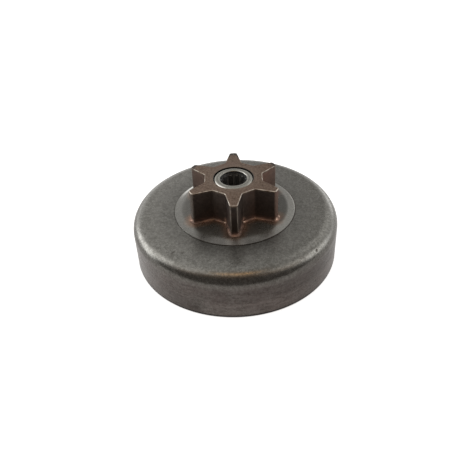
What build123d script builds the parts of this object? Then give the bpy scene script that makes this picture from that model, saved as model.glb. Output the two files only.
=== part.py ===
"""Chainsaw clutch drum with a brazed six-tooth spur sprocket and a caged needle bearing.

Frame: +Z up along the shaft axis, origin at the centre of the open rim, which
the drum stands on. The sprocket points up and one tooth points along -Y.
All lengths are in millimetres.
"""

import os
from math import cos, pi, radians, sin

from build123d import *

os.makedirs("parts", exist_ok=True)

# ---------------------------------------------------------------- drum, pressed from sheet
drum_r = 38.0            # outside radius of the wall
drum_h = 18.5            # rim to the flat web
sheet_t = 2.4            # sheet thickness
corner_r = 5.2           # outside bend between wall and web
rim_edge = 0.35          # broken edges of the turned rim
pad_h = 0.6              # raised pad under the sprocket
pad_flat_r = 19.0        # flat of the pad
pad_lip = 0.16           # short sharp step at the foot of the pad
pad_base_r = 22.30       # foot of the pad
hub_hole_r = 9.0         # hole that the sprocket's spigot fills

# ---------------------------------------------------------------- spur sprocket
teeth = 6
tip_u = 17.40            # radial place of the tooth's flat tip
tip_half = 1.33          # half width of the tip
root_u = 10.20           # radial place of the flank's foot
root_half = 2.95         # half width of the tooth at its foot
tip_round = 0.92         # rounded corners of the tip
root_round = 1.20        # rounded corners of the valley
sprocket_top = 31.50     # end face of the sprocket
edge_break = 0.30        # broken edge round the end face
bore_break = 0.12        # broken edge of the bearing bore
spigot_end = 15.9        # inner end of the spigot, just through the web

# ---------------------------------------------------------------- braze fillet
braze_w = 1.0            # spread of the fillet on the pad
braze_h = 0.9            # climb of the fillet on the flanks

# ---------------------------------------------------------------- needle bearing, 3/8 x 9/16 x 1/2 inch
shaft_r = 9.525 / 2      # circle inside the rollers
cup_r = 14.288 / 2       # outside of the drawn cup, pressed into the sprocket
cup_len = 12.7
cup_t = 0.58             # wall of the drawn cup
cup_sink = 0.18          # cup below the sprocket's end face
lip_r = 4.84             # hole in the cup's turned-in ends
cup_corner = 0.85        # drawn outer corners
roller_r = 0.88
roller_len = 9.2
roller_end = 0.18        # rounded roller ends
rollers = 14
pocket_r = 0.92          # round pocket around each roller
pocket_len = 9.34
cage_in_r = 5.20
cage_out_r = 6.22
cage_len = 11.26

web_top = drum_h
pad_top = drum_h + pad_h
cup_top = sprocket_top - cup_sink
cup_bottom = cup_top - cup_len
cup_mid = (cup_top + cup_bottom) / 2
race_r = cup_r - cup_t
pitch_r = shaft_r + roller_r


# ================================================================ clutch drum
# One pressed and turned cup. The section is drawn in the XZ plane and revolved.
inner_r = drum_r - sheet_t
bend_c = (drum_r - corner_r, drum_h - corner_r)     # centre of the bend
in_bend = corner_r - sheet_t                        # inside bend radius
under = drum_h - sheet_t                            # underside of the web
pad_under = pad_top - sheet_t                       # underside of the pad
s45 = sin(pi / 4)

with BuildPart() as drum:
    with BuildSketch(Plane.XZ):
        with BuildLine():
            Polyline(
                (inner_r + rim_edge, 0),
                (drum_r - rim_edge, 0),
                (drum_r, rim_edge),
                (drum_r, bend_c[1]),
            )
            ThreePointArc(
                (drum_r, bend_c[1]),
                (bend_c[0] + corner_r * s45, bend_c[1] + corner_r * s45),
                (bend_c[0], web_top),
            )
            Polyline(
                (bend_c[0], web_top),
                (pad_base_r, web_top),
                (pad_base_r - 0.10, web_top + pad_lip),
            )
            # crowned border of the pad, tangent to its flat
            ThreePointArc(
                (pad_base_r - 0.10, web_top + pad_lip),
                (
                    (pad_base_r - 0.10 + pad_flat_r) / 2,
                    pad_top - (pad_h - pad_lip) * 0.25,
                ),
                (pad_flat_r, pad_top),
            )
            Polyline(
                (pad_flat_r, pad_top),
                (hub_hole_r, pad_top),
                (hub_hole_r, pad_under),
                (pad_flat_r - 0.6, pad_under),
                (pad_base_r - 0.6, under),
                (bend_c[0], under),
            )
            ThreePointArc(
                (bend_c[0], under),
                (bend_c[0] + in_bend * s45, bend_c[1] + in_bend * s45),
                (inner_r, bend_c[1]),
            )
            Polyline(
                (inner_r, bend_c[1]),
                (inner_r, rim_edge),
                (inner_r + rim_edge, 0),
            )
        make_face()
    revolve(axis=Axis.Z)
drum.part.label = "clutch_drum"
export_step(drum.part, "parts/clutch_drum.step")


# ================================================================ spur sprocket
# Six tapered teeth round a hub, with a spigot that passes through the web.
def outline(points_of_tooth):
    """Corner points of the star, tooth after tooth, counter-clockwise, one tooth along -Y."""
    found = []
    for k in range(teeth):
        a = radians(-90 + 360 / teeth * k)
        for u, v in points_of_tooth:
            found.append((u * cos(a) - v * sin(a), u * sin(a) + v * cos(a)))
    return found


star_points = outline(
    [(root_u, -root_half), (tip_u, -tip_half), (tip_u, tip_half), (root_u, root_half)]
)

with BuildSketch() as star:
    with BuildLine():
        Polyline(*star_points, close=True)
    make_face()
    by_reach = star.vertices().sort_by(lambda v: (v.X**2 + v.Y**2) ** 0.5)
    fillet(by_reach[-2 * teeth :], radius=tip_round)
    inner_corners = star.vertices().filter_by(
        lambda v: (v.X**2 + v.Y**2) ** 0.5 < root_u + root_half / 2
    )
    fillet(inner_corners, radius=root_round)

with BuildPart() as sprocket:
    with BuildSketch(Plane.XY.offset(pad_top)):
        add(star.sketch)
    extrude(amount=sprocket_top - pad_top)
    end_edges = sprocket.edges().group_by(Axis.Z)[-1]
    chamfer(end_edges, length=edge_break)
    with BuildSketch(Plane.XY.offset(spigot_end)):
        Circle(hub_hole_r)
    extrude(amount=pad_top - spigot_end)
    with BuildSketch(Plane.XY.offset(spigot_end)):
        Circle(cup_r)
    extrude(amount=sprocket_top - spigot_end, mode=Mode.SUBTRACT)
    bore_edges = sprocket.edges().filter_by(GeomType.CIRCLE).filter_by(
        lambda e: abs(e.radius - cup_r) < 1e-3
    )
    chamfer(bore_edges, length=bore_break)
    spigot_edge = sprocket.edges().filter_by(GeomType.CIRCLE).filter_by(
        lambda e: abs(e.radius - hub_hole_r) < 1e-3 and e.center().Z < spigot_end + 0.1
    )
    chamfer(spigot_edge, length=0.3)
sprocket.part.label = "spur_sprocket"
export_step(sprocket.part, "parts/spur_sprocket.step")


# ================================================================ braze fillet
# Copper that has run round the foot of the teeth: a bevelled ring on the pad.
with BuildPart() as braze:
    with BuildSketch(Plane.XY.offset(pad_top)):
        add(star.sketch)
        offset(amount=braze_w, kind=Kind.ARC)
    with BuildSketch(Plane.XY.offset(pad_top + braze_h)):
        add(star.sketch)
        offset(amount=0.12, kind=Kind.ARC)
    loft(ruled=True)
    with BuildSketch(Plane.XY.offset(pad_top)):
        add(star.sketch)
    extrude(amount=braze_h + 1, mode=Mode.SUBTRACT)
braze.part.label = "braze_fillet"
export_step(braze.part, "parts/braze_fillet.step")


# ================================================================ needle bearing: drawn cup
with BuildPart() as cup:
    with BuildSketch(Plane.XZ) as section:
        with BuildLine():
            Polyline(
                (lip_r, cup_bottom),
                (cup_r, cup_bottom),
                (cup_r, cup_top),
                (lip_r, cup_top),
                (lip_r, cup_top - cup_t),
                (race_r, cup_top - cup_t),
                (race_r, cup_bottom + cup_t),
                (lip_r, cup_bottom + cup_t),
                close=True,
            )
        make_face()
        corners = section.vertices()
        fillet(corners.filter_by(lambda v: v.X > cup_r - 1e-3), radius=cup_corner)
        inside = section.vertices().filter_by(
            lambda v: abs(v.X - race_r) < 1e-3 and cup_bottom < v.Z < cup_top
        )
        fillet(inside, radius=0.27)
        rims = section.vertices().filter_by(lambda v: abs(v.X - lip_r) < 1e-3)
        fillet(rims, radius=0.16)
    revolve(axis=Axis.Z)
cup.part.label = "bearing_cup"
export_step(cup.part, "parts/bearing_cup.step")


# ================================================================ needle bearing: cage
with BuildPart(Plane.XY.offset(cup_mid)) as cage:
    Cylinder(cage_out_r, cage_len)
    Cylinder(cage_in_r, cage_len, mode=Mode.SUBTRACT)
    with PolarLocations(pitch_r, rollers):
        Cylinder(pocket_r, pocket_len, mode=Mode.SUBTRACT)
cage.part.label = "needle_cage"
export_step(cage.part, "parts/needle_cage.step")


# ================================================================ needle bearing: rollers
for k in range(rollers):
    a = radians(360 / rollers * k)
    seat = Plane(origin=(pitch_r * cos(a), pitch_r * sin(a), cup_mid))
    with BuildPart(seat) as roller:
        Cylinder(roller_r, roller_len)
        fillet(roller.edges().filter_by(GeomType.CIRCLE), radius=roller_end)
    name = f"needle_roller_{k + 1:02d}"
    roller.part.label = name
    export_step(roller.part, f"parts/{name}.step")

print("pad top", pad_top, "cup", round(cup_bottom, 3), round(cup_top, 3))
print("race gap", round(race_r - pitch_r - roller_r, 4), "roller ratio", round(-race_r / roller_r, 5))
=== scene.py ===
"""Looks for a chainsaw clutch drum with a brazed spur sprocket and a needle bearing.

Everything is in metres in the part's frame: +Z up along the shaft, rim on z = 0,
one tooth pointing along -Y. Sizes below are written in millimetres.
"""

import math

import bmesh
import bpy
import numpy as np
from mathutils import Matrix, Vector


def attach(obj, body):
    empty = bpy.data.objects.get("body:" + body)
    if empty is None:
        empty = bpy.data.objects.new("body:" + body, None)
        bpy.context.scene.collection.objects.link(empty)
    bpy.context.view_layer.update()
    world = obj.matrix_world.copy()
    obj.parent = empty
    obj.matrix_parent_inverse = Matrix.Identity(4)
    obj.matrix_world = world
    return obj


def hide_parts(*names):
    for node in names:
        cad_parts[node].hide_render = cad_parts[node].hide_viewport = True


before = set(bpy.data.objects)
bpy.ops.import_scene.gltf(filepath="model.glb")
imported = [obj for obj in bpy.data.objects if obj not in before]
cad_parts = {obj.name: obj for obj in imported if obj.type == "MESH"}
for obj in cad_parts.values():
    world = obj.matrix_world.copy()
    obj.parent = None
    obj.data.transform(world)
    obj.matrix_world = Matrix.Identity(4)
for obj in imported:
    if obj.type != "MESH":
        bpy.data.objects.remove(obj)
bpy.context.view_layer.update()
scene = bpy.context.scene
MM = 0.001

# ------------------------------------------------------------------ sizes of the part, mm
DRUM_R, DRUM_H, SHEET, BEND = 38.0, 18.5, 2.4, 5.2
PAD_H, PAD_FLAT, PAD_KNEE, PAD_LIP, PAD_BASE = 0.6, 19.0, 18.7, 0.16, 22.30
HUB_R, SPIGOT_END, TOP = 9.0, 15.9, 31.50
PAD_TOP = DRUM_H + PAD_H
TEETH, TIP_U, TIP_V, ROOT_U, ROOT_V = 6, 17.40, 1.33, 10.20, 2.95
TIP_ROUND, ROOT_ROUND, EDGE, BORE_BREAK = 0.92, 1.20, 0.21, 0.12
CUP_R, CUP_T, CUP_LEN, LIP_R = 7.144, 0.58, 12.7, 4.84
CUP_TOP = TOP - 0.18


# ------------------------------------------------------------------ seeded noise and mesh helpers
def lattice(ix, iy, iz, seed):
    h = (ix * 374761393 + iy * 668265263 + iz * 2147483647 + seed * 974711) & 0xFFFFFFFF
    h = ((h ^ (h >> 13)) * 1274126177) & 0xFFFFFFFF
    h = h ^ (h >> 16)
    return (h & 0xFFFFFF) / float(0xFFFFFF)


def noise3(p, size, seed=1):
    """Smooth noise from -1 to 1 at points p (n, 3), with features of that size."""
    q = np.asarray(p, float) / size + 1000.0
    i = np.floor(q).astype(np.int64)
    f = q - i
    f = f * f * f * (f * (f * 6 - 15) + 10)
    total = np.zeros(len(q))
    for dx in (0, 1):
        for dy in (0, 1):
            for dz in (0, 1):
                w = (
                    (f[:, 0] if dx else 1 - f[:, 0])
                    * (f[:, 1] if dy else 1 - f[:, 1])
                    * (f[:, 2] if dz else 1 - f[:, 2])
                )
                total += w * lattice(i[:, 0] + dx, i[:, 1] + dy, i[:, 2] + dz, seed)
    return total * 2 - 1


def grid_piece(name, grid_mm, sharp_deg=38):
    """Closed piece from a (u, v) grid of points in mm that wraps both ways."""
    nu, nv, _ = grid_mm.shape
    idx = np.arange(nu * nv).reshape(nu, nv)
    quads = np.stack(
        [idx, np.roll(idx, -1, 0), np.roll(np.roll(idx, -1, 0), -1, 1), np.roll(idx, -1, 1)], -1
    ).reshape(-1, 4)
    mesh = bpy.data.meshes.new(name)
    mesh.from_pydata((grid_mm.reshape(-1, 3) * MM).tolist(), [], quads.tolist())
    bm = bmesh.new()
    bm.from_mesh(mesh)
    bmesh.ops.recalc_face_normals(bm, faces=bm.faces)
    bm.to_mesh(mesh)
    bm.free()
    mesh.polygons.foreach_set("use_smooth", np.ones(len(mesh.polygons), bool))
    mesh.set_sharp_from_angle(angle=math.radians(sharp_deg))
    mesh.update()
    obj = bpy.data.objects.new(name, mesh)
    scene.collection.objects.link(obj)
    return obj


def float_attribute(obj, name, values):
    a = obj.data.attributes.new(name, "FLOAT", "POINT")
    a.data.foreach_set("value", np.asarray(values, np.float32))


def arc(cx, cz, r, a0, a1, n):
    t = np.radians(np.linspace(a0, a1, n))
    return np.stack([cx + r * np.cos(t), cz + r * np.sin(t)], -1)


def line(p, q, n):
    t = np.linspace(0, 1, n)[:, None]
    return np.array(p, float) * (1 - t) + np.array(q, float) * t


def joined(*runs):
    """Runs of (r, z) points end to end, without doubled points."""
    pts = np.concatenate(runs)
    keep = np.ones(len(pts), bool)
    keep[1:] = np.linalg.norm(np.diff(pts, axis=0), axis=1) > 1e-6
    pts = pts[keep]
    if np.linalg.norm(pts[0] - pts[-1]) < 1e-6:
        pts = pts[:-1]
    return pts


def profile_normals(pts):
    """Left-hand normals of a closed run of (r, z) points."""
    d = np.roll(pts, -1, 0) - np.roll(pts, 1, 0)
    n = np.stack([d[:, 1], -d[:, 0]], -1)
    return n / np.linalg.norm(n, axis=1)[:, None]


# ------------------------------------------------------------------ star outline of the teeth
def star_outline():
    """Points and outward normals of the rounded star, mm, counter-clockwise."""
    corners = []
    for k in range(TEETH):
        a = math.radians(-90 + 60 * k)
        c, s = math.cos(a), math.sin(a)
        for u, v, r in ((ROOT_U, -ROOT_V, ROOT_ROUND), (TIP_U, -TIP_V, TIP_ROUND), (TIP_U, TIP_V, TIP_ROUND), (ROOT_U, ROOT_V, ROOT_ROUND)):
            corners.append((np.array([u * c - v * s, u * s + v * c]), r))
    n = len(corners)
    ends, arcs = [], []
    for i, (p, r) in enumerate(corners):
        a = corners[i - 1][0] - p
        b = corners[(i + 1) % n][0] - p
        a, b = a / np.linalg.norm(a), b / np.linalg.norm(b)
        half = math.acos(np.clip(a @ b, -1, 1)) / 2
        t = r / math.tan(half)
        centre = p + (a + b) / np.linalg.norm(a + b) * (r / math.sin(half))
        ends.append((p + a * t, p + b * t))
        arcs.append((centre, r, (a + b) @ p < 0))
    pts, nor, tip = [], [], []
    for i in range(n):
        centre, r, convex = arcs[i]
        p0, p1 = ends[i]
        a0 = math.atan2(*(p0 - centre)[::-1])
        a1 = math.atan2(*(p1 - centre)[::-1])
        da = (a1 - a0 + math.pi) % (2 * math.pi) - math.pi
        m = 13 if convex else 11
        for t in np.linspace(0, 1, m):
            q = np.array([math.cos(a0 + da * t), math.sin(a0 + da * t)])
            pts.append(centre + r * q)
            nor.append(q if convex else -q)
            tip.append(math.exp(-(((t - 0.5) / 0.15) ** 2)) if convex else 0.0)
        q0, q1 = p1, ends[(i + 1) % n][0]
        length = np.linalg.norm(q1 - q0)
        m = max(2, int(round(length / 0.32)))
        d = (q1 - q0) / length
        for t in np.linspace(0, 1, m + 1)[1:-1]:
            pts.append(q0 + (q1 - q0) * t)
            nor.append(np.array([d[1], -d[0]]))
            tip.append(0.0)
    return np.array(pts), np.array(nor), np.array(tip)


STAR, STAR_N, STAR_TIP = star_outline()


def star_distance(xy):
    """Distance in mm from points to the star's outline, negative inside it."""
    a, b = STAR, np.roll(STAR, -1, 0)
    ab = b - a
    best = np.full(len(xy), 1e9)
    inside = np.zeros(len(xy), bool)
    for s in range(len(a)):
        t = np.clip(((xy - a[s]) @ ab[s]) / (ab[s] @ ab[s]), 0, 1)
        best = np.minimum(best, np.linalg.norm(xy - (a[s] + t[:, None] * ab[s]), axis=1))
        y0, y1 = a[s, 1], b[s, 1]
        if y0 != y1:
            cross = (y0 > xy[:, 1]) != (y1 > xy[:, 1])
            xi = (b[s, 0] - a[s, 0]) * (xy[:, 1] - y0) / (y1 - y0) + a[s, 0]
            inside ^= cross & (xy[:, 0] < xi)
    return np.where(inside, -best, best)


# ------------------------------------------------------------------ clutch drum
# small marks: radius, height and bearing of the place, length round the drum and across, depth (mm)
MARKS = [
    (36.60, 16.85, -41.25, 0.42, 0.34, 0.26),
    (32.48, 18.50, -129.7, 0.34, 0.95, 0.08),
    (30.66, 18.50, -124.5, 0.55, 0.42, 0.09),
    (38.00, 2.79, -111.8, 1.50, 0.60, 0.04),
]


def drum():
    inner, bx, bz = DRUM_R - SHEET, DRUM_R - BEND, DRUM_H - BEND
    under, pad_under = DRUM_H - SHEET, PAD_TOP - SHEET
    x0, z0 = PAD_BASE - 0.10, DRUM_H + PAD_LIP
    # border of the pad: an even slope, then a short bend into the flat
    slope = math.atan2(PAD_TOP - z0, x0 - PAD_KNEE)
    cut = 0.75
    p0 = np.array([PAD_KNEE + cut * math.cos(slope), PAD_TOP - cut * math.sin(slope)])
    p1, p2 = np.array([PAD_KNEE, PAD_TOP]), np.array([PAD_KNEE - cut, PAD_TOP])
    t = np.linspace(0, 1, 10)[:, None]
    border = joined(line((x0, z0), p0, 9), (1 - t) ** 2 * p0 + 2 * t * (1 - t) * p1 + t**2 * p2)
    pts = joined(
        line((inner + 0.35, 0), (DRUM_R - 0.35, 0), 5),
        arc(DRUM_R - 0.35, 0.35, 0.35, -90, 0, 5),
        line((DRUM_R, 0.35), (DRUM_R, bz), 30),
        arc(bx, bz, BEND, 0, 90, 46),
        line((bx, DRUM_H), (PAD_BASE + 0.12, DRUM_H), 32),
        line((PAD_BASE + 0.12, DRUM_H), (PAD_BASE, DRUM_H - 0.05), 3),
        line((PAD_BASE, DRUM_H - 0.05), (x0, z0), 4),
        border,
        line(p2, (HUB_R, PAD_TOP), 24),
        line((HUB_R, PAD_TOP), (HUB_R, pad_under), 4),
        line((HUB_R, pad_under), (PAD_FLAT - 0.6, pad_under), 7),
        line((PAD_FLAT - 0.6, pad_under), (PAD_BASE - 0.6, under), 6),
        line((PAD_BASE - 0.6, under), (bx, under), 9),
        arc(bx, bz, BEND - SHEET, 90, 0, 12),
        line((inner, bz), (inner, 0.35), 10),
        line((inner, 0.35), (inner + 0.35, 0), 3),
    )
    nrm = profile_normals(pts)
    # bearings round the drum, closer together at the marks
    angles = list(np.arange(372) * 360 / 372 - 180)
    for m in MARKS:
        angles += list(m[2] + np.linspace(-2.4, 2.4, 13) + 0.013)
    angles = np.radians(np.unique(np.round(np.array(angles), 4)))
    r, z = pts[:, 0][None, :], pts[:, 1][None, :]
    ca, sa = np.cos(angles)[:, None], np.sin(angles)[:, None]
    grid = np.stack([r * ca, r * sa, np.broadcast_to(z, (len(angles), len(pts)))], -1)
    normal = np.stack([nrm[:, 0][None, :] * ca, nrm[:, 0][None, :] * sa, np.broadcast_to(nrm[:, 1][None, :], grid.shape[:2])], -1)
    flat, fn = grid.reshape(-1, 3), normal.reshape(-1, 3)
    # the sheet is a little uneven: always inwards, so the true size is never passed
    outer = (fn[:, 2] > 0.02) | (np.hypot(flat[:, 0], flat[:, 1]) > DRUM_R - 1e-3)
    top = outer & (flat[:, 2] > 0.5) & (np.hypot(flat[:, 0], flat[:, 1]) > PAD_BASE + 0.4)
    sink = 0.022 * (0.5 + 0.5 * noise3(flat, 9.0, 3)) + 0.007 * (0.5 + 0.5 * noise3(flat, 2.4, 4))
    depth = np.where(top, sink, 0.0)
    mark = np.zeros(len(flat))
    for mr, mz, ma, along, across, deep in MARKS:
        a = math.radians(ma)
        c = np.array([mr * math.cos(a), mr * math.sin(a), mz])
        t1 = np.array([-math.sin(a), math.cos(a), 0])
        rel = flat - c
        near = np.linalg.norm(rel, axis=1) < 4
        u = rel @ t1
        v = np.sqrt(np.maximum((rel**2).sum(1) - u**2, 0))
        g = np.exp(-((u / along) ** 2) - (v / across) ** 2) * near * outer
        depth += deep * g
        mark = np.maximum(mark, g)
    flat = flat - fn * depth[:, None]
    obj = grid_piece("drum_body", flat.reshape(grid.shape), 32)
    rad = np.hypot(flat[:, 0], flat[:, 1])
    dist = np.full(len(flat), 30.0)
    pad = (flat[:, 2] > DRUM_H - 0.1) & (rad < PAD_BASE + 2.5)
    dist[pad] = star_distance(flat[pad][:, :2])
    float_attribute(obj, "from_teeth", dist)
    float_attribute(obj, "mark", mark)
    # painted highlight on the pad: a crescent on the border at the back on the left, and a line along its lip to the
    # right
    turn = (np.degrees(np.arctan2(flat[:, 1], flat[:, 0])) - 141 + 180) % 360 - 180
    pad_highlight_paint = np.exp(-((turn / 13) ** 2) - ((rad - 21.52) / (0.32 + 0.02 * np.abs(turn))) ** 2) * pad
    bearing = np.degrees(np.arctan2(flat[:, 1], flat[:, 0]))
    pad_highlight_paint = np.maximum(pad_highlight_paint, 0.60 * np.exp(-(((bearing - 10) / 19) ** 2) - ((rad - 22.17) / 0.2) ** 2) * pad)
    float_attribute(obj, "pad_highlight_paint", pad_highlight_paint)
    return obj


# ------------------------------------------------------------------ spur sprocket
# copper that has climbed into the corners beside the front tooth, painted bright as a highlight: x, y, z (mm)
COPPER_SPLASHES_AND_GLINTS = [(3.30, -10.30, 20.5), (-3.25, -10.35, 20.4)]


def sprocket():
    n = len(STAR)
    rings, edge, far_tip_shade = [], [], []
    polar = np.arctan2(STAR[:, 1], STAR[:, 0])
    unit = np.stack([np.cos(polar), np.sin(polar)], -1)
    reach = np.hypot(STAR[:, 0], STAR[:, 1])
    tip = np.clip((reach - 14.8) / 1.8, 0, 1)
    tip = tip * tip * (3 - 2 * tip)
    # painted shade along the top edge of the three tips away from the front, the farthest one most
    back = np.clip(np.sin(polar) * 4 - 0.6, 0, 1)
    most = np.clip(np.sin(polar) * 4 - 2.6, 0, 1)
    far = np.clip((reach - 15.4 + 1.6 * most) / 1.2, 0, 1) * back
    wide = 0.13 + 0.03 * most
    # painted highlight on the edges that face the front and the sides
    near = np.clip(0.75 - 1.4 * STAR_N[:, 1], 0, 1)
    # painted highlight lines on the corners of the tips, strongest on the tooth in front and fading downwards
    front = np.clip(-np.sin(polar) * 4 - 2.6, 0, 1)
    aside = np.exp(-(((STAR[:, 0] - 15) / 3) ** 2) - ((STAR[:, 1] + 8.5) / 3) ** 2)
    corner = STAR_TIP * (0.45 + 0.5 * front) * (1 - 0.6 * back) * (1 - 0.45 * aside)
    # copper colour on the flanks to the right, and a little to the left
    right = np.exp(-(((STAR[:, 0] - 13.5) / 6) ** 2) - ((STAR[:, 1] + 2.5) / 9) ** 2)
    right = right * np.clip(STAR_N[:, 0] * 2.5 + 0.2, 0, 1)
    left = np.exp(-(((STAR[:, 0] + 13.0) / 5) ** 2) - ((STAR[:, 1] - 2.0) / 5) ** 2)
    wash = 1.1 * right + 0.5 * left
    # the face of the tip in front on the left is paler
    pale = np.exp(-(((STAR[:, 0] + 15) / 2.5) ** 2) - ((STAR[:, 1] + 8.6) / 2.5) ** 2) * np.clip(-STAR_N[:, 0] * 4 - 2, 0, 1)
    # the face of the tip in front lies in the dark
    shade = front * np.clip(-STAR_N[:, 1] * 8 - 7, 0, 1)

    def add(xy, z, e=0.0, c=0.0):
        rings.append(np.concatenate([xy, np.broadcast_to(np.asarray(z, float), (n,))[:, None]], 1))
        edge.append(np.broadcast_to(np.asarray(e, float), (n,)))
        far_tip_shade.append(np.broadcast_to(np.asarray(c, float) * far, (n,)))

    # a worn edge: the round varies a little along the outline and is larger round the tips
    p3 = np.concatenate([STAR, np.full((n, 1), TOP)], 1)
    worn = (EDGE + 0.05 * tip) * (1.0 - 0.35 * back) * (1.0 + 0.16 * noise3(p3, 2.6, 11) + 0.08 * noise3(p3, 0.9, 12))
    worn = np.clip(worn, 0.12, 0.34)
    for z in np.linspace(PAD_TOP, TOP - 0.95, 30):
        add(STAR, z, corner * min(1.0, 0.35 + (z - PAD_TOP) / 9))
    add(STAR, TOP - worn - 0.06, np.maximum(corner, 0.25), 0.3)
    for deg in np.linspace(0, 90, 10):
        t = math.radians(deg)
        off = worn * (1 - math.cos(t))
        w = min(1.0, 0.65 + deg / 40)
        add(STAR - STAR_N * off[:, None], TOP - worn * (1 - math.sin(t)), w * near, 1.0)
    top_out = STAR - STAR_N * worn[:, None]
    bore_edge = unit * (CUP_R + BORE_BREAK)
    for t in np.concatenate([[0.006, 0.012, 0.02, 0.03, 0.045, 0.06, 0.08, 0.1, 0.12, 0.145], np.linspace(0, 1, 24)[5:-1], [0.985, 1.0]]):
        xy = top_out * (1 - t) + bore_edge * t
        dip = 0.008 * (0.5 + 0.5 * noise3(np.concatenate([xy, np.zeros((n, 1))], 1), 1.6, 14))
        add(xy, TOP - dip * math.sin(math.pi * t), near * max(0.0, 0.7 - t / 0.024), np.clip((wide - t) / 0.035, 0, 1))
    for t in np.linspace(0, 1, 4)[1:]:
        add(unit * (CUP_R + BORE_BREAK * (1 - t)), TOP - BORE_BREAK * t, 0.15)
    for z in np.linspace(TOP - BORE_BREAK, SPIGOT_END + 0.35, 10)[1:]:
        add(unit * CUP_R, z)
    add(unit * (CUP_R + 0.35), SPIGOT_END, 0.4)
    add(unit * (HUB_R - 0.3), SPIGOT_END, 0.4)
    add(unit * HUB_R, SPIGOT_END + 0.3, 0.4)
    add(unit * HUB_R, PAD_TOP)
    add(STAR * 0.5 + unit * HUB_R * 0.5, PAD_TOP)
    grid = np.stack(rings, 1)
    obj = grid_piece("sprocket_teeth", grid, 42)
    float_attribute(obj, "edge_highlight_paint", np.stack(edge, 1).reshape(-1))
    float_attribute(obj, "tip_shade_paint", np.stack(far_tip_shade, 1).reshape(-1))
    float_attribute(obj, "wash", np.broadcast_to(wash[:, None], (n, len(rings))).reshape(-1))
    float_attribute(obj, "pale", np.broadcast_to(pale[:, None], (n, len(rings))).reshape(-1))
    float_attribute(obj, "shade", np.broadcast_to(shade[:, None], (n, len(rings))).reshape(-1))
    flat = grid.reshape(-1, 3)
    copper_splash_and_glint = np.zeros(len(flat))
    for x, y, z in COPPER_SPLASHES_AND_GLINTS:
        copper_splash_and_glint = np.maximum(copper_splash_and_glint, np.exp(-((flat[:, 0] - x) ** 2 + (flat[:, 1] - y) ** 2 + ((flat[:, 2] - z) / 1.2) ** 2) / 0.6**2))
    float_attribute(obj, "copper_splash_and_glint", copper_splash_and_glint)
    return obj


# ------------------------------------------------------------------ copper braze round the foot of the teeth
# drops of copper with painted highlights: x, y, size (mm) and strength
COPPER_DROPS_AND_GLINTS = [
    (-1.78, -15.95, 0.7, 1.0), (1.45, -16.20, 0.6, 1.0), (-3.45, -10.55, 0.8, 0.8), (3.35, -10.45, 0.8, 0.9),
    (14.50, -9.10, 0.8, 1.0), (15.45, -7.30, 0.8, 1.0), (-15.62, -6.87, 0.9, 0.45), (-15.23, -8.40, 0.7, 0.48),
    (-8.30, -7.90, 1.3, 0.5), (8.45, -7.80, 1.4, 0.5),
    (15.40, 7.40, 0.8, 0.8), (-14.90, 8.30, 0.8, 0.8), (1.20, 17.70, 0.8, 0.8), (-3.10, 9.40, 0.7, 0.8),
]


def braze():
    n = len(STAR)
    p3 = np.concatenate([STAR, np.zeros((n, 1))], 1)
    # thickest at the tips, where the copper gathers
    tip = np.clip((np.hypot(STAR[:, 0], STAR[:, 1]) - 14.5) / 2.5, 0, 1)
    spread = np.clip(0.80 + 0.16 * tip + 0.12 * noise3(p3, 4.2, 21), 0.6, 1.0)
    climb = np.clip(0.86 + 0.20 * tip + 0.14 * noise3(p3, 3.6, 23), 0.6, 1.15)
    rings = []
    for t in np.linspace(0, 1, 17):
        # concave section that meets the flank and the pad almost tangentially
        a = math.radians(90 * t)
        d = spread * (1 - math.cos(a))
        h = climb * (1 - math.sin(a))
        xy = STAR + STAR_N * d[:, None]
        q = np.concatenate([xy, h[:, None]], 1)
        h = h + 0.015 * noise3(q, 1.3, 25) * math.sin(math.pi * t)
        rings.append(np.concatenate([xy, (PAD_TOP + np.maximum(h, 0))[:, None]], 1))
    rings.append(np.concatenate([STAR + STAR_N * (spread * 0.5)[:, None], np.full((n, 1), PAD_TOP - 0.03)], 1))
    rings.append(np.concatenate([STAR - STAR_N * 0.03, np.full((n, 1), PAD_TOP - 0.03)], 1))
    rings.append(np.concatenate([STAR - STAR_N * 0.03, (PAD_TOP + climb * 0.5)[:, None]], 1))
    grid = np.stack(rings, 1)
    obj = grid_piece("copper_braze", grid, 60)
    flat = grid.reshape(-1, 3)
    copper_drop_and_glint = np.zeros(len(flat))
    for x, y, size, strength in COPPER_DROPS_AND_GLINTS:
        copper_drop_and_glint = np.maximum(copper_drop_and_glint, strength * np.exp(-((flat[:, 0] - x) ** 2 + (flat[:, 1] - y) ** 2) / size**2))
    float_attribute(obj, "copper_drop_and_glint", copper_drop_and_glint)
    return obj


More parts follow.
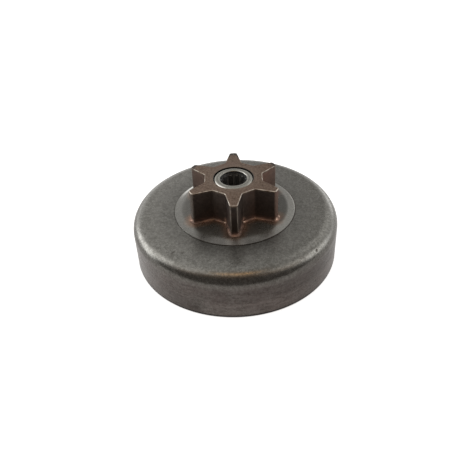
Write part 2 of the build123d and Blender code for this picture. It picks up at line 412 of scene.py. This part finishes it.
# ------------------------------------------------------------------ drawn cup of the needle bearing
def cup():
    zt, zb = CUP_TOP, CUP_TOP - CUP_LEN
    race, rc, li, lt = CUP_R - CUP_T, 0.85, 0.16, 0.28
    pts = joined(
        arc(LIP_R + lt, zt - lt, lt, 180, 90, 9),
        line((LIP_R + lt, zt), (LIP_R + 0.50, zt), 3),
        line((LIP_R + 0.50, zt), (LIP_R + 0.62, zt - 0.05), 4),
        line((LIP_R + 0.62, zt - 0.05), (CUP_R - rc - 0.26, zt - 0.05), 10),
        line((CUP_R - rc - 0.26, zt - 0.05), (CUP_R - rc - 0.14, zt), 4),
        line((CUP_R - rc - 0.14, zt), (CUP_R - rc, zt), 3),
        arc(CUP_R - rc, zt - rc, rc, 90, 0, 14),
        line((CUP_R, zt - rc), (CUP_R, zb + rc), 8),
        arc(CUP_R - rc, zb + rc, rc, 0, -90, 10),
        line((CUP_R - rc, zb), (LIP_R + li, zb), 6),
        arc(LIP_R + li, zb + li, li, 270, 180, 5),
        arc(LIP_R + li, zb + CUP_T - li, li, 180, 90, 5),
        line((LIP_R + li, zb + CUP_T), (race - 0.27, zb + CUP_T), 5),
        arc(race - 0.27, zb + CUP_T + 0.27, 0.27, -90, 0, 5),
        line((race, zb + CUP_T + 0.27), (race, zt - CUP_T - 0.27), 8),
        arc(race - 0.27, zt - CUP_T - 0.27, 0.27, 0, 90, 5),
        line((race - 0.27, zt - CUP_T), (LIP_R + li, zt - CUP_T), 5),
        arc(LIP_R + li, zt - CUP_T + li, li, 270, 180, 5),
    )
    a = np.radians(np.arange(256) * 360 / 256)
    grid = np.stack(
        [pts[:, 0][None] * np.cos(a)[:, None], pts[:, 0][None] * np.sin(a)[:, None], np.broadcast_to(pts[:, 1][None], (256, len(pts)))], -1
    )
    return grid_piece("bearing_ring", grid, 40)


# ------------------------------------------------------------------ node materials
class Mat:
    """A material whose Principled sockets are fed by a few short helpers."""

    def __init__(self, name):
        self.mat = bpy.data.materials.new(name)
        self.mat.use_nodes = True
        self.t = self.mat.node_tree
        self.t.nodes.clear()
        self.out = self.t.nodes.new("ShaderNodeOutputMaterial")
        self.bsdf = self.t.nodes.new("ShaderNodeBsdfPrincipled")
        self.t.links.new(self.bsdf.outputs[0], self.out.inputs[0])
        self.coord = self.t.nodes.new("ShaderNodeTexCoord").outputs["Object"]
        self.xyz = self.new("ShaderNodeSeparateXYZ", {0: self.coord})

    def new(self, kind, inputs=None, **props):
        node = self.t.nodes.new(kind)
        for k, v in props.items():
            setattr(node, k, v)
        for k, v in (inputs or {}).items():
            self.put(node.inputs[k], v)
        return node

    def put(self, socket, v):
        if isinstance(v, bpy.types.NodeSocket):
            self.t.links.new(v, socket)
        else:
            socket.default_value = v

    def set(self, **sockets):
        for k, v in sockets.items():
            self.put(self.bsdf.inputs[k.replace("_", " ")], v)

    def noise(self, size_mm, detail=3.0, rough=0.55, vec=None, distort=0.0):
        n = self.new("ShaderNodeTexNoise", {"Scale": 1000.0 / size_mm, "Detail": detail, "Roughness": rough, "Distortion": distort})
        self.put(n.inputs["Vector"], vec if vec is not None else self.coord)
        return n.outputs["Fac"]

    def spots(self, size_mm, vec=None):
        n = self.new("ShaderNodeTexVoronoi", {"Scale": 1000.0 / size_mm})
        self.put(n.inputs["Vector"], vec if vec is not None else self.coord)
        return n.outputs["Distance"]

    def math(self, op, a, b=0.0, clamp=False):
        n = self.new("ShaderNodeMath", {0: a, 1: b}, operation=op, use_clamp=clamp)
        return n.outputs[0]

    def span(self, v, a, b, c=0.0, d=1.0, smooth=True):
        n = self.new("ShaderNodeMapRange", {0: v, 1: a, 2: b, 3: c, 4: d}, interpolation_type="SMOOTHSTEP" if smooth else "LINEAR")
        return n.outputs[0]

    def mix(self, fac, a, b, blend="MIX"):
        n = self.new("ShaderNodeMix", data_type="RGBA", blend_type=blend)
        self.put(n.inputs[0], fac)
        self.put(n.inputs[6], a if isinstance(a, bpy.types.NodeSocket) else (*a, 1.0))
        self.put(n.inputs[7], b if isinstance(b, bpy.types.NodeSocket) else (*b, 1.0))
        return n.outputs[2]

    def scaled(self, sx, sy, sz):
        n = self.new("ShaderNodeMapping", {0: self.coord})
        n.inputs["Scale"].default_value = (sx, sy, sz)
        return n.outputs[0]

    def radius(self):
        flat = self.new("ShaderNodeCombineXYZ", {0: self.xyz.outputs[0], 1: self.xyz.outputs[1]})
        n = self.new("ShaderNodeVectorMath", {0: flat.outputs[0]}, operation="LENGTH")
        return n.outputs["Value"]

    def attribute(self, name):
        return self.new("ShaderNodeAttribute", attribute_name=name, attribute_type="GEOMETRY").outputs["Fac"]

    def bump(self, height, distance_mm, strength=1.0, under=None):
        n = self.new("ShaderNodeBump", {"Strength": strength, "Distance": distance_mm * MM, "Height": height})
        if under is not None:
            self.put(n.inputs["Normal"], under)
        return n.outputs[0]


def drum_material():
    m = Mat("drum_steel")
    r, z = m.radius(), m.xyz.outputs[2]
    grain, speck = m.noise(0.50, 2, 0.6), m.noise(0.90, 3, 0.65)
    mottle, cloud = m.noise(3.0, 4, 0.6), m.noise(14.0, 2, 0.5)
    col = m.mix(m.span(mottle, 0.3, 0.7), (0.114, 0.110, 0.100), (0.143, 0.139, 0.127))
    # blasted grain: small light and dark points
    col = m.mix(m.span(speck, 0.38, 0.64, 0.0, 0.70), col, (0.208, 0.203, 0.189))
    col = m.mix(m.span(grain, 0.54, 0.34, 0.0, 0.55), col, (0.078, 0.075, 0.069))
    # painted shade: the web is darker towards the pad
    col = m.mix(m.span(r, 0.0225, 0.0315, 0.22, 0.0), col, (0.0, 0.0, 0.0))
    # the drawn wall is browner than the web, with faint level streaks
    streak = m.noise(5.0, 3, 0.6, m.scaled(1.0, 1.0, 6.0))
    wall = m.math("MULTIPLY", m.span(z, 0.0162, 0.0110), m.span(cloud, 0.25, 0.7, 0.6, 1.0))
    brown = m.mix(m.span(streak, 0.3, 0.7), (0.079, 0.062, 0.057), (0.160, 0.133, 0.124))
    brown = m.mix(m.span(speck, 0.38, 0.64, 0.0, 0.55), brown, (0.174, 0.151, 0.142))
    brown = m.mix(m.span(m.noise(4.5, 3, 0.6), 0.50, 0.68, 0.0, 0.5), brown, (0.098, 0.072, 0.068))
    col = m.mix(m.math("MULTIPLY", wall, 0.85), col, brown)
    # the pad is smoother, with a painted highlight on its border, painted darker in front and lighter to the right
    pad = m.math("MULTIPLY", m.span(r, 0.02240, 0.02215), m.span(z, 0.0175, 0.0182))
    border = m.span(r, 0.0187, 0.0201)
    face = m.mix(m.span(speck, 0.3, 0.7), (0.112, 0.108, 0.098), (0.134, 0.130, 0.119))
    light = m.mix(m.span(speck, 0.3, 0.7), (0.158, 0.155, 0.145), (0.190, 0.187, 0.175))
    light = m.mix(m.span(m.xyz.outputs[1], -0.0130, -0.0215, 0.0, 0.40), light, (0.085, 0.072, 0.066))
    light = m.mix(1.0, light, m.span(m.xyz.outputs[0], -0.016, 0.020, 0.90, 1.24), "MULTIPLY")
    # in front the border has a painted highlight in the middle and painted shade to the right, a little to the left
    x, y = m.xyz.outputs[0], m.xyz.outputs[1]
    middle = m.math("MULTIPLY", m.span(y, -0.0182, -0.0198), m.span(m.math("ABSOLUTE", x), 0.0045, 0.0010))
    aside = m.math("MULTIPLY", m.span(y, -0.0185, -0.0212), m.math("ADD", m.span(x, 0.0025, 0.0055, 0.0, 0.32), m.span(x, -0.0025, -0.0055, 0.0, 0.13)))
    light = m.mix(1.0, light, m.math("SUBTRACT", m.math("ADD", 1.0, m.math("MULTIPLY", middle, 0.75)), aside), "MULTIPLY")
    # painted shade on the flat of the pad to the left
    face = m.mix(m.span(x, -0.006, -0.014, 0.0, 0.16), face, (0.0, 0.0, 0.0))
    face = m.mix(border, face, light)
    # painted highlight on the border of the pad and along its lip
    face = m.mix(m.math("MULTIPLY", m.attribute("pad_highlight_paint"), 0.95), face, (0.92, 0.91, 0.88))
    col = m.mix(m.math("MULTIPLY", pad, 0.9), col, face)
    # painted shade: a dark line where the pad meets the web, stronger to the right
    seam_shade = m.math("MULTIPLY", m.span(r, 0.02270, 0.02242), m.span(r, 0.02213, 0.02227))
    col = m.mix(m.math("MULTIPLY", m.math("MULTIPLY", seam_shade, m.span(z, 0.0175, 0.0182)), m.span(x, -0.014, 0.010, 0.26, 0.82)), col, (0.050, 0.042, 0.036))
    # thin copper colour that has run out over the pad
    reach = m.math("ADD", m.attribute("from_teeth"), m.math("MULTIPLY", m.noise(4.5, 2, 0.5), 2.4))
    stain = m.math("MULTIPLY", m.span(reach, 4.8, 1.6), pad)
    col = m.mix(m.math("MULTIPLY", stain, 0.85), col, m.mix(m.span(m.noise(3.0, 2), 0.3, 0.7), (0.190, 0.120, 0.084), (0.265, 0.170, 0.120)))
    # painted shade on the flat of the pad beside the teeth on both sides, and a little in front
    pad_shade = m.math("ADD", m.span(x, 0.0095, 0.0140, 0.0, 0.42), m.span(x, -0.0100, -0.0140, 0.0, 0.12))
    pad_shade = m.math("MULTIPLY", pad_shade, m.math("MULTIPLY", m.span(r, 0.0201, 0.0191), m.span(y, -0.0125, -0.0095)))
    col = m.mix(m.math("MULTIPLY", pad_shade, pad), col, (0.0, 0.0, 0.0))
    foot = m.math("MULTIPLY", m.span(m.math("ABSOLUTE", x), 0.0038, 0.0022, 0.0, 0.46), m.math("MULTIPLY", m.span(y, -0.0155, -0.0165), m.span(r, 0.0196, 0.0186)))
    col = m.mix(m.math("MULTIPLY", foot, pad), col, (0.0, 0.0, 0.0))
    # painted shade and light on the wall: darker halfway up, and low down lighter in front and darker to the left of
    # that, a little darker to the right
    low = m.math("MULTIPLY", m.span(x, -0.0135, -0.0095, -0.22, 0.10), m.span(x, -0.026, -0.020))
    half = m.span(x, -0.026, -0.010, -0.05, -0.18)
    level = m.math("ADD", m.math("MULTIPLY", low, m.span(z, 0.0082, 0.0050)), m.math("MULTIPLY", half, m.span(z, 0.0050, 0.0082)))
    level = m.math("ADD", level, m.span(x, -0.002, 0.004, 0.0, -0.09))
    level = m.math("MULTIPLY", level, m.span(z, 0.0140, 0.0115))
    col = m.mix(1.0, col, m.math("ADD", 1.0, level), "MULTIPLY")
    # painted shade along the lower edge of the rim
    col = m.mix(m.math("MULTIPLY", m.span(z, 0.0011, 0.0006), 0.80), col, (0.014, 0.013, 0.012))
    # marks and a rusty point on the wall
    dark = m.math("MULTIPLY", m.attribute("mark"), 0.7)
    col = m.mix(dark, col, (0.045, 0.037, 0.032))
    rough = m.span(mottle, 0.3, 0.7, 0.37, 0.30)
    rough = m.math("ADD", rough, m.span(r, 0.0325, 0.0235, -0.065, 0.05))
    rough = m.math("SUBTRACT", rough, m.math("MULTIPLY", pad, 0.10))
    hard = m.math("SUBTRACT", 1.0, m.math("MULTIPLY", pad, 0.90))
    n = m.bump(cloud, 0.05, 0.25)
    n = m.bump(m.math("MULTIPLY", speck, hard), 0.014, 1.0, n)
    n = m.bump(m.math("MULTIPLY", grain, hard), 0.010, 1.0, n)
    m.set(Base_Color=col, Metallic=m.math("SUBTRACT", 1.0, m.math("MULTIPLY", pad, m.span(border, 0.0, 1.0, 0.26, 0.08))), Roughness=rough, Normal=n)
    return m.mat


def sprocket_material():
    m = Mat("sprocket_steel")
    r, z = m.radius(), m.xyz.outputs[2]
    grain, mottle, cloud = m.noise(0.7, 3, 0.65), m.noise(2.0, 4, 0.6), m.noise(6.0, 2, 0.5)
    top = m.span(z, 0.0306, 0.0312)
    face = m.mix(m.span(mottle, 0.3, 0.7), (0.075, 0.047, 0.032), (0.106, 0.071, 0.051))
    face = m.mix(m.span(grain, 0.38, 0.64, 0.0, 0.75), face, (0.176, 0.126, 0.094))
    face = m.mix(m.span(grain, 0.45, 0.32, 0.0, 0.75), face, (0.048, 0.031, 0.023))
    # faint turned lines round the bearing
    turned = m.new("ShaderNodeTexNoise", {"Scale": 2600.0, "Detail": 2.0}, noise_dimensions="1D")
    m.put(turned.inputs["W"], r)
    lines = m.math("MULTIPLY", m.span(turned.outputs["Fac"], 0.42, 0.62), m.span(r, 0.0105, 0.0082))
    face = m.mix(m.math("MULTIPLY", lines, 0.4), face, (0.190, 0.155, 0.125))
    side = m.mix(m.span(mottle, 0.3, 0.7), (0.098, 0.080, 0.071), (0.136, 0.112, 0.099))
    wash = m.math("MULTIPLY", m.attribute("wash"), m.span(cloud, 0.3, 0.6, 0.7, 1.0), clamp=True)
    side = m.mix(m.math("MULTIPLY", wash, 0.9), side, (0.300, 0.172, 0.130))
    side = m.mix(m.math("MULTIPLY", m.attribute("pale"), 0.45), side, (0.235, 0.215, 0.190))
    side = m.mix(m.math("MULTIPLY", m.attribute("shade"), 0.35), side, (0.03, 0.027, 0.025))
    col = m.mix(top, side, face)
    col = m.mix(m.span(cloud, 0.52, 0.72, 0.0, 0.35), col, (0.138, 0.088, 0.070))
    # copper colour that has climbed from the braze, with painted highlights on the two splashes beside the front tooth
    col = m.mix(m.math("MULTIPLY", m.attribute("copper_splash_and_glint"), 0.9), col, (0.80, 0.57, 0.46))
    low = m.math("MULTIPLY", m.span(m.math("ADD", z, m.math("MULTIPLY", mottle, 0.0022)), 0.0222, 0.0202), 0.7)
    col = m.mix(low, col, (0.335, 0.220, 0.180))
    # painted highlight on the edges that face the front and the sides, broken up by noise
    worn = m.math("MULTIPLY", m.attribute("edge_highlight_paint"), m.span(m.noise(1.6, 3), 0.35, 0.62, 0.30, 1.0))
    col = m.mix(m.math("MULTIPLY", worn, 0.9), col, (0.51, 0.46, 0.40))
    # painted shade on the top edges of the tips away from the front
    far_tip_shade = m.math("MULTIPLY", m.attribute("tip_shade_paint"), m.span(m.noise(0.9, 3), 0.3, 0.55, 0.6, 1.0))
    col = m.mix(m.math("MULTIPLY", far_tip_shade, 0.90), col, (0.030, 0.026, 0.023))
    # painted shade in the groove round the bearing, except in front
    groove = m.math("MULTIPLY", m.span(r, 0.00740, 0.00725), m.span(m.xyz.outputs[1], -0.0052, -0.0015))
    col = m.mix(m.math("MULTIPLY", groove, 0.97), col, (0.008, 0.007, 0.006))
    rough = m.math("ADD", m.span(mottle, 0.3, 0.7, 0.44, 0.34), m.span(top, 0.0, 1.0, 0.12, 0.0))
    n = m.bump(mottle, 0.014, 0.8)
    n = m.bump(grain, 0.018, 1.0, n)
    m.set(Base_Color=col, Metallic=1.0, Roughness=rough, Normal=n)
    return m.mat


def braze_material():
    m = Mat("braze_copper")
    mottle, fine = m.noise(2.2, 3, 0.5), m.noise(0.6, 3, 0.6)
    col = m.mix(m.span(mottle, 0.35, 0.65), (0.117, 0.079, 0.064), (0.278, 0.179, 0.140))
    col = m.mix(m.span(fine, 0.48, 0.72, 0.0, 0.5), col, (0.105, 0.068, 0.053))
    # copper drops, painted lighter as highlights
    copper_drop_and_glint = m.span(m.attribute("copper_drop_and_glint"), 0.15, 0.8)
    col = m.mix(copper_drop_and_glint, col, (0.36, 0.25, 0.19))
    n = m.bump(mottle, 0.02, 0.5)
    m.set(Base_Color=col, Metallic=1.0, Roughness=m.span(copper_drop_and_glint, 0.0, 1.0, 0.58, 0.36), Normal=n)
    return m.mat


def bearing_material():
    m = Mat("bearing_steel")
    r = m.radius()
    turned = m.new("ShaderNodeTexNoise", {"Scale": 5200.0, "Detail": 2.0}, noise_dimensions="1D")
    m.put(turned.inputs["W"], r)
    rings = turned.outputs["Fac"]
    mottle = m.noise(0.9, 3, 0.6)
    col = m.mix(m.span(mottle, 0.3, 0.7), (0.214, 0.209, 0.186), (0.276, 0.270, 0.244))
    col = m.mix(m.span(rings, 0.4, 0.6, 0.0, 0.25), col, (0.155, 0.150, 0.135))
    # the sunk band of the face is duller
    band = m.math("MULTIPLY", m.span(r, 0.00536, 0.00548), m.span(r, 0.00612, 0.00600))
    col = m.mix(m.math("MULTIPLY", band, 0.75), col, (0.150, 0.146, 0.131))
    # painted highlight on the drawn outer edge, most of all in front on the left, and on the lip at the back on the
    # right
    x, y = m.xyz.outputs[0], m.xyz.outputs[1]
    edge = m.span(r, 0.00640, 0.00662)
    col = m.mix(m.math("MULTIPLY", edge, m.span(y, -0.0056, -0.0030, 0.0, 0.32)), col, (0.50, 0.49, 0.45))
    front_left = m.math("ADD", m.math("MULTIPLY", x, -0.766), m.math("MULTIPLY", y, -0.643))
    col = m.mix(m.math("MULTIPLY", edge, m.span(front_left, 0.0057, 0.0066, 0.0, 0.62)), col, (0.95, 0.93, 0.88))
    back_right = m.math("ADD", m.math("MULTIPLY", x, 0.743), m.math("MULTIPLY", y, 0.669))
    lip = m.math("MULTIPLY", m.span(r, 0.00536, 0.00520), m.span(back_right, 0.0042, 0.0049, 0.0, 0.35))
    col = m.mix(lip, col, (0.66, 0.65, 0.61))
    # painted shade in the groove round the ring
    col = m.mix(m.span(r, 0.00690, 0.00702, 0.0, 0.98), col, (0.006, 0.0055, 0.005))
    n = m.bump(rings, 0.004, 0.7)
    n = m.bump(mottle, 0.006, 0.6, n)
    m.set(Base_Color=col, Metallic=1.0, Roughness=m.span(mottle, 0.3, 0.7, 0.32, 0.23), Normal=n)
    return m.mat


def cage_material():
    m = Mat("cage_steel")
    mottle = m.noise(0.8, 3, 0.6)
    col = m.mix(m.span(mottle, 0.3, 0.7), (0.112, 0.117, 0.117), (0.160, 0.165, 0.165))
    m.set(Base_Color=col, Metallic=0.25, Roughness=m.span(mottle, 0.3, 0.7, 0.55, 0.40), Normal=m.bump(mottle, 0.008, 0.7))
    return m.mat


def roller_material():
    m = Mat("roller_steel")
    drawn = m.noise(0.5, 3, 0.6, m.scaled(1.0, 1.0, 0.12))
    col = m.mix(m.span(drawn, 0.3, 0.7), (0.12, 0.124, 0.124), (0.18, 0.185, 0.184))
    m.set(Base_Color=col, Metallic=0.7, Roughness=m.span(drawn, 0.3, 0.7, 0.36, 0.26), Normal=m.bump(drawn, 0.003, 0.6))
    return m.mat


def floor_material():
    m = Mat("floor_paper")
    fibre = m.noise(1.2, 3, 0.6)
    col = m.mix(m.span(fibre, 0.3, 0.7), (0.44, 0.44, 0.44), (0.46, 0.46, 0.46))
    m.set(Base_Color=col, Roughness=m.span(fibre, 0.3, 0.7, 0.95, 0.85))
    # a lit sheet, dark under the part and, as a painted contact shadow, in a thin ring just outside the rim; a little
    # dimmer to the right, towards the front and at the back on the left
    seen = m.new("ShaderNodeLightPath").outputs["Is Camera Ray"]
    glow = m.math("MULTIPLY", m.span(m.xyz.outputs[0], -0.08, 0.10, 0.45, 0.27), m.span(m.xyz.outputs[1], -0.100, -0.050))
    glow = m.math("MULTIPLY", glow, m.span(m.math("SUBTRACT", m.xyz.outputs[1], m.xyz.outputs[0]), 0.02, 0.08, 1.0, 0.58))
    glow = m.math("MULTIPLY", glow, m.span(m.math("ADD", m.xyz.outputs[1], m.xyz.outputs[0]), 0.03, 0.09, 1.0, 1.35))
    glow = m.math("MULTIPLY", glow, m.span(m.xyz.outputs[0], -0.14, -0.06, 1.5, 1.0))
    glow = m.math("MAXIMUM", glow, m.math("MULTIPLY", seen, 0.85))
    m.bsdf.inputs["Emission Color"].default_value = (1, 1, 1, 1)
    # the glow fades out within a thin ring just outside the rim: a painted contact shadow
    m.set(Emission_Strength=m.math("MULTIPLY", glow, m.span(m.radius(), 0.0372, 0.0384)))
    return m.mat


# ------------------------------------------------------------------ build and place the pieces
pieces = [
    (drum(), "clutch_drum", "drum_steel", drum_material()),
    (sprocket(), "spur_sprocket", "sprocket_steel", sprocket_material()),
    (braze(), "braze_fillet", "braze_copper", braze_material()),
    (cup(), "bearing_cup", "bearing_steel", bearing_material()),
]
for obj, node, slot, material in pieces:
    obj.data.materials.append(material)
    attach(obj, "drum")
    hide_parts(node)

cage_mat, roller_mat = cage_material(), roller_material()
for name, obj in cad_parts.items():
    if name == "needle_cage" or name.startswith("needle_roller"):
        obj.data.materials.clear()
        obj.data.materials.append(cage_mat if name == "needle_cage" else roller_mat)

# ------------------------------------------------------------------ floor
floor_mesh = bpy.data.meshes.new("floor")
floor_mesh.from_pydata([(-1.5, -0.105, -2e-5), (1.5, -0.105, -2e-5), (1.5, 2.0, -2e-5), (-1.5, 2.0, -2e-5)], [], [(0, 1, 2, 3)])
floor = bpy.data.objects.new("floor", floor_mesh)
floor.data.materials.append(floor_material())
scene.collection.objects.link(floor)

# ------------------------------------------------------------------ camera
cam_data = bpy.data.cameras.new("camera")
cam = bpy.data.objects.new("camera", cam_data)
scene.collection.objects.link(cam)
cam_pos = Vector((3.2025, -163.5608, 135.5742)) * MM
cam_fwd = Vector((-0.016893, 0.782252, -0.622733)).normalized()
cam_up = Vector((0.029927, 0.622938, 0.781698))
cam_right = cam_fwd.cross(cam_up).normalized()
cam_up = cam_right.cross(cam_fwd)
rot = Matrix((cam_right, cam_up, -cam_fwd)).transposed().to_4x4()
cam.matrix_world = Matrix.Translation(cam_pos) @ rot
cam_data.lens = 41.470
cam_data.sensor_width = 36.0
cam_data.clip_start, cam_data.clip_end = 0.005, 20.0
scene.camera = cam


# ------------------------------------------------------------------ soft studio light
def softbox(name, direction, distance, w, h, radiance, colour=(1, 1, 1), target=(0, 0, 0.012)):
    data = bpy.data.lights.new(name, "AREA")
    data.shape = "RECTANGLE"
    data.size, data.size_y = w, h
    data.energy = radiance * math.pi * w * h
    data.color = colour
    obj = bpy.data.objects.new(name, data)
    scene.collection.objects.link(obj)
    d = Vector(direction).normalized()
    obj.location = Vector(target) + d * distance
    obj.rotation_euler = (-d).to_track_quat("-Z", "Y").to_euler()
    obj.visible_camera = False
    return obj


softbox("warm_strip", (0.0, -0.395, 0.917), 0.40, 0.19, 0.050, 2.15, (1.0, 0.54, 0.19))

# the room: a pale dome behind and above, dark on the camera's side, brighter low at the back and sides
world = bpy.data.worlds.new("studio")
scene.world = world
world.use_nodes = True
wt = world.node_tree
wt.nodes.clear()
w_out = wt.nodes.new("ShaderNodeOutputWorld")
w_bg = wt.nodes.new("ShaderNodeBackground")
w_view = wt.nodes.new("ShaderNodeBackground")
w_mix = wt.nodes.new("ShaderNodeMixShader")
w_path = wt.nodes.new("ShaderNodeLightPath")
w_dir = wt.nodes.new("ShaderNodeTexCoord").outputs["Generated"]


def w_span(value, a, b):
    n = wt.nodes.new("ShaderNodeMapRange")
    n.interpolation_type = "SMOOTHSTEP"
    wt.links.new(value, n.inputs[0])
    n.inputs[1].default_value, n.inputs[2].default_value = a, b
    return n.outputs[0]


def w_dot(axis):
    n = wt.nodes.new("ShaderNodeVectorMath")
    n.operation = "DOT_PRODUCT"
    wt.links.new(w_dir, n.inputs[0])
    n.inputs[1].default_value = axis
    return n.outputs["Value"]


def w_times(a, b):
    n = wt.nodes.new("ShaderNodeMath")
    n.operation = "MULTIPLY"
    wt.links.new(a, n.inputs[0])
    wt.links.new(b, n.inputs[1])
    return n.outputs[0]


def w_lobe(azimuth, elevation, inner, outer):
    a, e = math.radians(azimuth), math.radians(elevation)
    axis = (math.cos(e) * math.cos(a), math.cos(e) * math.sin(a), math.sin(e))
    return w_span(w_dot(axis), math.cos(math.radians(outer)), math.cos(math.radians(inner)))


def w_layer(total, amount, colour):
    n = wt.nodes.new("ShaderNodeVectorMath")
    n.operation = "MULTIPLY_ADD"
    wt.links.new(amount, n.inputs[0])
    n.inputs[1].default_value = colour
    if total is None:
        n.inputs[2].default_value = (0.175, 0.157, 0.145)
    else:
        wt.links.new(total, n.inputs[2])
    return n.outputs[0]


toward = w_dot((0.0, 0.807, 0.591))
lit = w_span(toward, -0.02, 0.22)
up, across, depth = w_dot((0, 0, 1)), w_dot((1, 0, 0)), w_dot((0, 1, 0))
low_back = w_times(w_span(up, 0.52, 0.06), w_span(depth, -0.02, 0.30))
sky = w_layer(None, lit, (0.55, 0.555, 0.545))
sky = w_layer(sky, w_times(lit, w_span(across, 0.15, -0.20)), (0.41, 0.412, 0.41))
sky = w_layer(sky, low_back, (0.50, 0.504, 0.507))
sky = w_layer(sky, w_times(low_back, w_span(across, 0.25, -0.35)), (0.22, 0.221, 0.223))
sky = w_layer(sky, w_lobe(161, 5, 3, 25), (3.5, 3.55, 3.6))
sky = w_layer(sky, w_lobe(174, 31, 5, 20), (1.55, 1.55, 1.55))
sky = w_layer(sky, w_lobe(19, 2, 3, 20), (1.15, 1.17, 1.2))
sky = w_layer(sky, w_lobe(0, 21, 6, 21), (1.95, 1.95, 1.95))
sky = w_layer(sky, w_lobe(57, 2, 4, 16), (1.75, 1.76, 1.78))
sky = w_layer(sky, w_lobe(45, 40, 4, 27), (0.69, 0.69, 0.68))
sky = w_layer(sky, w_lobe(93, 3, 8, 28), (-0.16, -0.16, -0.16))
sky = w_layer(sky, w_lobe(112, 0, 4, 20), (-0.22, -0.22, -0.22))
sky = w_layer(sky, w_lobe(-22, 42, 8, 24), (0.70, 0.67, 0.64))
sky = w_layer(sky, w_lobe(-168, 47, 8, 25), (0.45, 0.44, 0.43))
sky = w_layer(sky, w_lobe(82, 31, 2, 11), (-0.13, -0.13, -0.13))
# the front of the dome is warm, with a brown edge
brown_edge = w_times(w_times(w_span(toward, 0.26, 0.10), w_span(toward, -0.24, 0.00)), w_span(up, 0.42, 0.62))
sky = w_layer(sky, brown_edge, (0.17, 0.085, 0.025))
sky = w_layer(sky, w_lobe(-92, 73, 5, 20), (0.03, -0.13, -0.28))
wt.links.new(sky, w_bg.inputs[0])
w_view.inputs[0].default_value = (1, 1, 1, 1)
wt.links.new(w_path.outputs["Is Camera Ray"], w_mix.inputs[0])
wt.links.new(w_bg.outputs[0], w_mix.inputs[1])
wt.links.new(w_view.outputs[0], w_mix.inputs[2])
wt.links.new(w_mix.outputs[0], w_out.inputs[0])

scene.view_settings.view_transform = "Standard"
